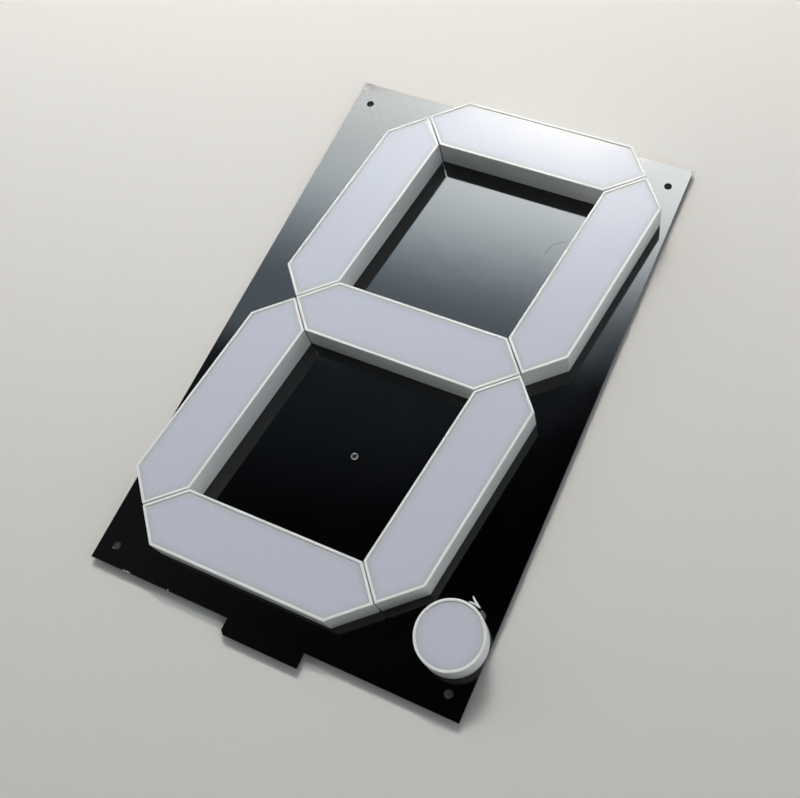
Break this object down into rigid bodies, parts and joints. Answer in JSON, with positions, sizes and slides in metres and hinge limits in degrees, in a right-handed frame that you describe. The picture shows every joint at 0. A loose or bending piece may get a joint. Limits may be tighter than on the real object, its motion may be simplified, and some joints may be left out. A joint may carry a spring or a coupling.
{
  "type": "seven-segment LED display",
  "caption": "Large italic seven-segment LED digit with a round decimal point: white shells with milky covers on a black circuit board with a contact tongue.",
  "frame": {"origin": "centre of the four corner mounting holes, on the back face of the circuit board", "axes": "+Z out of the display's face, +Y towards the top of the digit, +X towards the decimal point"},
  "size_m": [0.175, 0.2783, 0.0161],
  "materials": {
    "board_black": "gloss solder mask over glass-fibre laminate",
    "shell_white": "satin moulded white",
    "diffuser_milky": "gloss milky translucent",
    "led_clear": "clear epoxy lens, unlit",
    "glue_clear": "clear set glue",
    "solder_tin": "bright solder",
    "finger_plate": "thin gold plate",
    "resistor_black": "glazed chip"
  },
  "bodies": {
    "root": {"base_board": "board_black", "contact_fingers": "finger_plate", "point_diffuser": "diffuser_milky", "point_glue": "glue_clear", "point_leds": "led_clear", "point_shell": "shell_white", "segment_a_diffuser": "diffuser_milky", "segment_a_leds": "led_clear", "segment_a_shell": "shell_white", "segment_b_diffuser": "diffuser_milky", "segment_b_leds": "led_clear", "segment_b_shell": "shell_white", "segment_c_diffuser": "diffuser_milky", "segment_c_leds": "led_clear", "segment_c_shell": "shell_white", "segment_d_diffuser": "diffuser_milky", "segment_d_leds": "led_clear", "segment_d_shell": "shell_white", "segment_e_diffuser": "diffuser_milky", "segment_e_leds": "led_clear", "segment_e_shell": "shell_white", "segment_f_diffuser": "diffuser_milky", "segment_f_leds": "led_clear", "segment_f_shell": "shell_white", "segment_g_diffuser": "diffuser_milky", "segment_g_leds": "led_clear", "segment_g_shell": "shell_white", "series_resistors": "resistor_black", "solder_joints": "solder_tin"}
  },
  "joints": []
}
